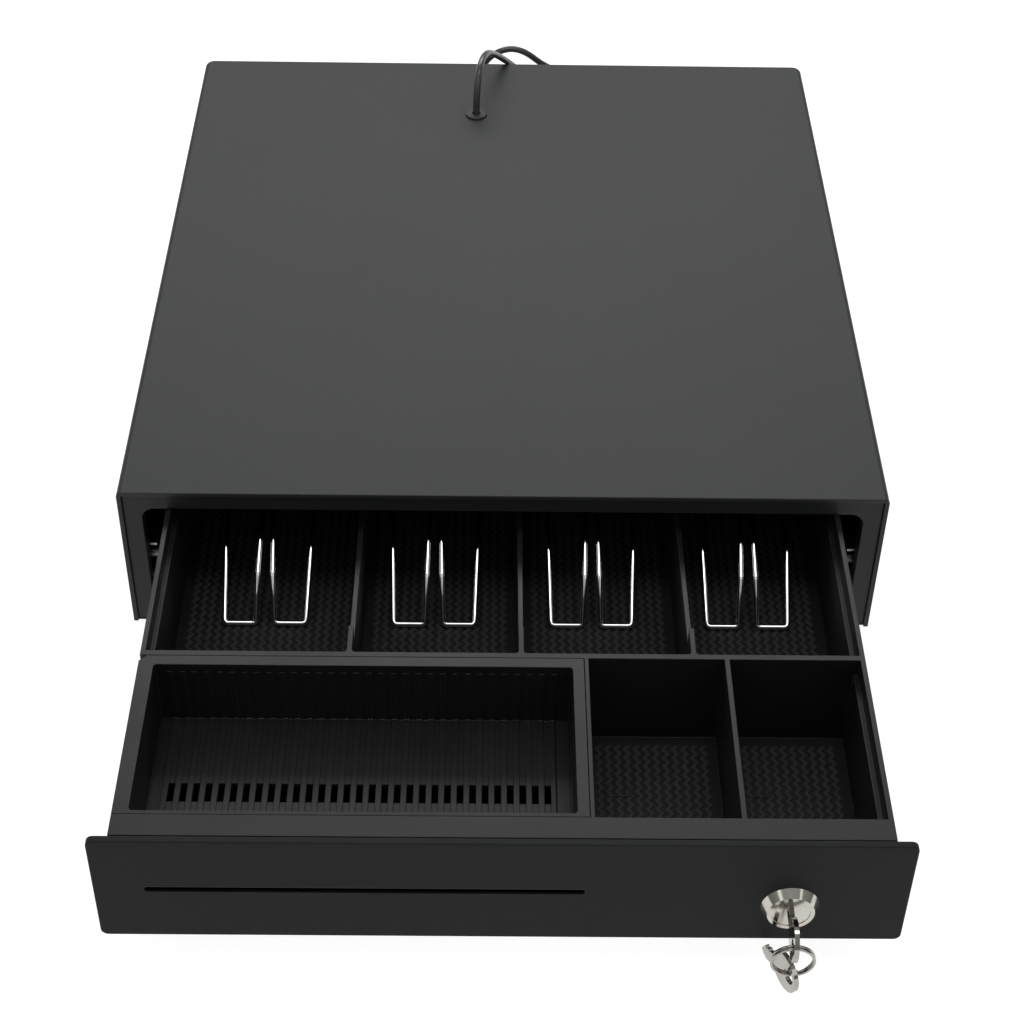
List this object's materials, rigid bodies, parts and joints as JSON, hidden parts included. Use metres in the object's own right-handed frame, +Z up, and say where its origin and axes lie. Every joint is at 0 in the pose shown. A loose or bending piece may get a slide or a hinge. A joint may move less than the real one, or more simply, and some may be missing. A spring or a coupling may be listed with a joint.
{
  "type": "cash drawer",
  "caption": "Compact steel cash drawer, half open, with a plastic till of coin bins and note bays, wire note clips, lift-out coin box, key lock and cable.",
  "frame": {"origin": "middle of the footprint of the open drawer and its housing, on the counter under the feet", "axes": "+Z up, +Y from the open drawer towards the housing's rear, +X to the right seen from the front"},
  "size_m": [0.3376, 0.6641, 0.1061],
  "materials": {
    "powder_coat": "matte, fine texture",
    "panel_coat": "satin, smooth",
    "dark_frame": "satin",
    "zinc_sheet": "satin zinc",
    "bright_wire": "polished",
    "lock_chrome": "satin",
    "key_steel": "nickel plated",
    "tray_plastic": "semi-matte, moulded texture",
    "acetal": "smooth",
    "rubber": "matte",
    "cable_jacket": "smooth",
    "clear_plug": "clear",
    "strap": "woven",
    "copper_winding": "varnished tape",
    "switch_case": "matte"
  },
  "bodies": {
    "housing": {"housing_cover": "powder_coat", "front_frame": "dark_frame", "base_pan": "dark_frame", "rubber_feet": "rubber", "cover_screws": "lock_chrome", "left_runner": "zinc_sheet", "right_runner": "zinc_sheet", "front_roller_studs": "zinc_sheet", "solenoid_bracket": "zinc_sheet", "solenoid_coil": "copper_winding", "latch_pin": "zinc_sheet", "latch_spring": "bright_wire", "ejector_tube": "zinc_sheet", "ejector_spring": "bright_wire", "switch_bracket": "zinc_sheet", "switch_body": "switch_case", "internal_lead": "cable_jacket", "cable_grommet": "rubber", "cable": "cable_jacket", "cable_coil": "cable_jacket", "cable_tie": "strap", "cable_tail": "cable_jacket", "cable_plug": "clear_plug"},
    "left_front_roller": {"left_front_roller": "acetal"},
    "right_front_roller": {"right_front_roller": "acetal"},
    "drawer": {"drawer_pan": "dark_frame", "front_panel": "panel_coat", "panel_nuts": "zinc_sheet", "left_drawer_rail": "zinc_sheet", "right_drawer_rail": "zinc_sheet", "rear_roller_studs": "zinc_sheet", "drawer_strike": "zinc_sheet", "till_tray": "tray_plastic", "clip_brackets": "zinc_sheet", "clip_rods": "zinc_sheet", "lock_body": "lock_chrome", "lock_nut": "zinc_sheet"},
    "left_rear_roller": {"left_rear_roller": "acetal"},
    "right_rear_roller": {"right_rear_roller": "acetal"},
    "coin_box": {"coin_box": "tray_plastic"},
    "note_clip_1": {"note_clip_1": "bright_wire"},
    "note_clip_2": {"note_clip_2": "bright_wire"},
    "note_clip_3": {"note_clip_3": "bright_wire"},
    "note_clip_4": {"note_clip_4": "bright_wire"},
    "lock_core": {"lock_plug": "lock_chrome", "lock_cam": "zinc_sheet", "cam_screw": "zinc_sheet", "key_1": "key_steel"},
    "key_ring": {"key_ring": "key_steel"},
    "spare_key": {"key_2": "key_steel"},
    "latch_lever": {"latch_lever": "zinc_sheet"},
    "solenoid_plunger": {"solenoid_plunger": "zinc_sheet"},
    "ejector_pusher": {"ejector_pusher": "acetal"},
    "switch_lever": {"switch_lever": "bright_wire"}
  },
  "joints": [
    {"name": "drawer_slide", "type": "slide", "parent": "housing", "child": "drawer", "axis": [0, -1, 0], "range_m": [-0.1825, 0.0475]},
    {"name": "left_front_roller_spin", "type": "hinge", "parent": "housing", "child": "left_front_roller", "pos_m": [-0.151, -0.06742, 0.0325], "axis": [1, 0, 0], "continuous": true},
    {"name": "left_rear_roller_spin", "type": "hinge", "parent": "drawer", "child": "left_rear_roller", "pos_m": [-0.1596, -0.00293, 0.0325], "axis": [1, 0, 0], "continuous": true},
    {"name": "right_front_roller_spin", "type": "hinge", "parent": "housing", "child": "right_front_roller", "pos_m": [0.151, -0.06742, 0.0325], "axis": [1, 0, 0], "continuous": true},
    {"name": "right_rear_roller_spin", "type": "hinge", "parent": "drawer", "child": "right_rear_roller", "pos_m": [0.1596, -0.00293, 0.0325], "axis": [1, 0, 0], "continuous": true},
    {"name": "coin_box_lift", "type": "slide", "parent": "drawer", "child": "coin_box", "axis": [0, 0, 1], "range_m": [0, 0.045]},
    {"name": "note_clip_1_lift", "type": "hinge", "parent": "drawer", "child": "note_clip_1", "pos_m": [-0.1045, -0.02092, 0.061], "axis": [-1, 0, 0], "range_deg": [0, 16], "stiffness_Nm_per_rad": 0.05, "springref_deg": -20.05},
    {"name": "note_clip_2_lift", "type": "hinge", "parent": "drawer", "child": "note_clip_2", "pos_m": [-0.0301, -0.02092, 0.061], "axis": [-1, 0, 0], "range_deg": [0, 16], "stiffness_Nm_per_rad": 0.05, "springref_deg": -20.05},
    {"name": "note_clip_3_lift", "type": "hinge", "parent": "drawer", "child": "note_clip_3", "pos_m": [0.0394, -0.02092, 0.061], "axis": [-1, 0, 0], "range_deg": [0, 16], "stiffness_Nm_per_rad": 0.05, "springref_deg": -20.05},
    {"name": "note_clip_4_lift", "type": "hinge", "parent": "drawer", "child": "note_clip_4", "pos_m": [0.1084, -0.02092, 0.061], "axis": [-1, 0, 0], "range_deg": [0, 16], "stiffness_Nm_per_rad": 0.05, "springref_deg": -20.05},
    {"name": "lock_turn", "type": "hinge", "parent": "drawer", "child": "lock_core", "pos_m": [0.11, -0.26493, 0.0338], "axis": [0, 1, 0], "range_deg": [-45, 45]},
    {"name": "key_ring_hang", "type": "hinge", "parent": "lock_core", "child": "key_ring", "pos_m": [0.11, -0.28387, 0.0338], "axis": [0, 1, 0], "range_deg": [-45, 45]},
    {"name": "spare_key_swing", "type": "hinge", "parent": "key_ring", "child": "spare_key", "pos_m": [0.11, -0.28387, 0.0173], "axis": [1, 0, 0], "range_deg": [-6, 6]},
    {"name": "latch_swing", "type": "hinge", "parent": "housing", "child": "latch_lever", "pos_m": [0.002, 0.23558, 0.021], "axis": [0, 0, -1], "range_deg": [0, 14]},
    {"name": "plunger_slide", "type": "slide", "parent": "housing", "child": "solenoid_plunger", "axis": [1, 0, 0], "range_m": [0, 0.0055]},
    {"name": "ejector_push", "type": "slide", "parent": "housing", "child": "ejector_pusher", "axis": [0, -1, 0], "range_m": [0, 0.02]},
    {"name": "switch_press", "type": "hinge", "parent": "housing", "child": "switch_lever", "pos_m": [0.1032, 0.20217, 0.0157], "axis": [-1, 0, 0], "range_deg": [0, 20], "stiffness_Nm_per_rad": 0.002, "springref_deg": -5.73}
  ],
  "couplings": [
    {"joint": "left_front_roller_spin", "follows": "drawer_slide", "rad_per_m": 117.65},
    {"joint": "left_rear_roller_spin", "follows": "drawer_slide", "rad_per_m": 117.65},
    {"joint": "right_front_roller_spin", "follows": "drawer_slide", "rad_per_m": 117.65},
    {"joint": "right_rear_roller_spin", "follows": "drawer_slide", "rad_per_m": 117.65},
    {"joint": "key_ring_hang", "follows": "lock_turn", "ratio": -1},
    {"joint": "plunger_slide", "follows": "latch_swing", "m_per_rad": 0.022}
  ]
}
